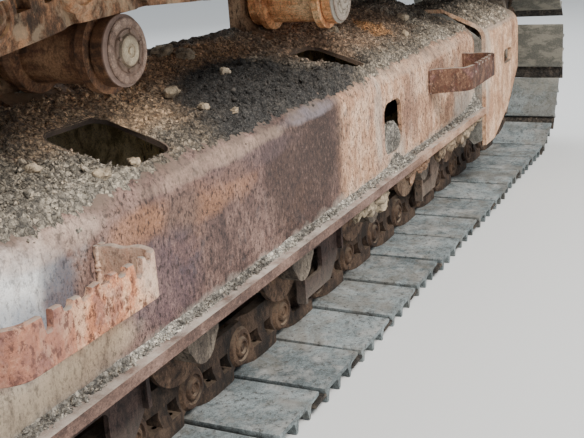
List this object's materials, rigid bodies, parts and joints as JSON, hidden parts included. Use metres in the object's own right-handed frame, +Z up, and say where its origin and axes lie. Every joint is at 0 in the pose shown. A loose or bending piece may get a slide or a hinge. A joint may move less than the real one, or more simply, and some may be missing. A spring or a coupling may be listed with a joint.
{
  "type": "excavator track unit",
  "caption": "Crawler track unit of an excavator: rusty side frame with sloped deck, steps, idler, sprocket drive, rollers, link chain and steel shoes",
  "frame": {"origin": "middle of the unit's length and width, on the ground under the shoes", "axes": "X runs towards the idler, Z is up, -Y is the outboard side with the steps"},
  "size_m": [4.6598, 0.642, 0.9234],
  "materials": {
    "rust": "weathered paint over rust",
    "peach_rust": "light rust with dust",
    "dark_rust": "dark rust",
    "steel_grey": "dull grey steel",
    "step_rust": "orange rust",
    "mud": "steel under dried mud",
    "shoe_grey": "worn grey steel with dust"
  },
  "bodies": {
    "root": {"frame_shell": "rust", "frame_inner_wall": "rust", "frame_base": "rust", "frame_ribs": "dark_rust", "frame_rear_wall": "rust", "guide_wall": "steel_grey", "idler_guide": "peach_rust", "idler_guide_inner": "peach_rust", "idler_wheel": "steel_grey", "idler_axle": "steel_grey", "idler_yoke": "dark_rust", "recoil_rod": "steel_grey", "recoil_cylinder": "dark_rust", "recoil_spring": "dark_rust", "drive_bracket": "rust", "final_drive": "dark_rust", "sprocket": "steel_grey", "travel_motor": "dark_rust", "carrier_bracket_rear": "dark_rust", "carrier_bracket_front": "dark_rust", "carrier_roller_rear": "dark_rust", "carrier_roller_front": "dark_rust", "track_roller_1": "dark_rust", "track_roller_2": "dark_rust", "track_roller_3": "dark_rust", "track_roller_4": "dark_rust", "track_roller_5": "dark_rust", "track_roller_6": "dark_rust", "track_roller_7": "dark_rust", "roller_blocks": "steel_grey", "track_guard_rear": "rust", "track_guard_middle": "rust", "track_guard_front": "rust", "step_rear": "step_rust", "step_front": "step_rust", "leg_joint_rear": "rust", "leg_joint_front": "rust", "chain_links_outboard": "mud", "chain_links_inboard": "mud", "chain_bushings": "mud", "track_shoes": "shoe_grey"}
  },
  "joints": []
}
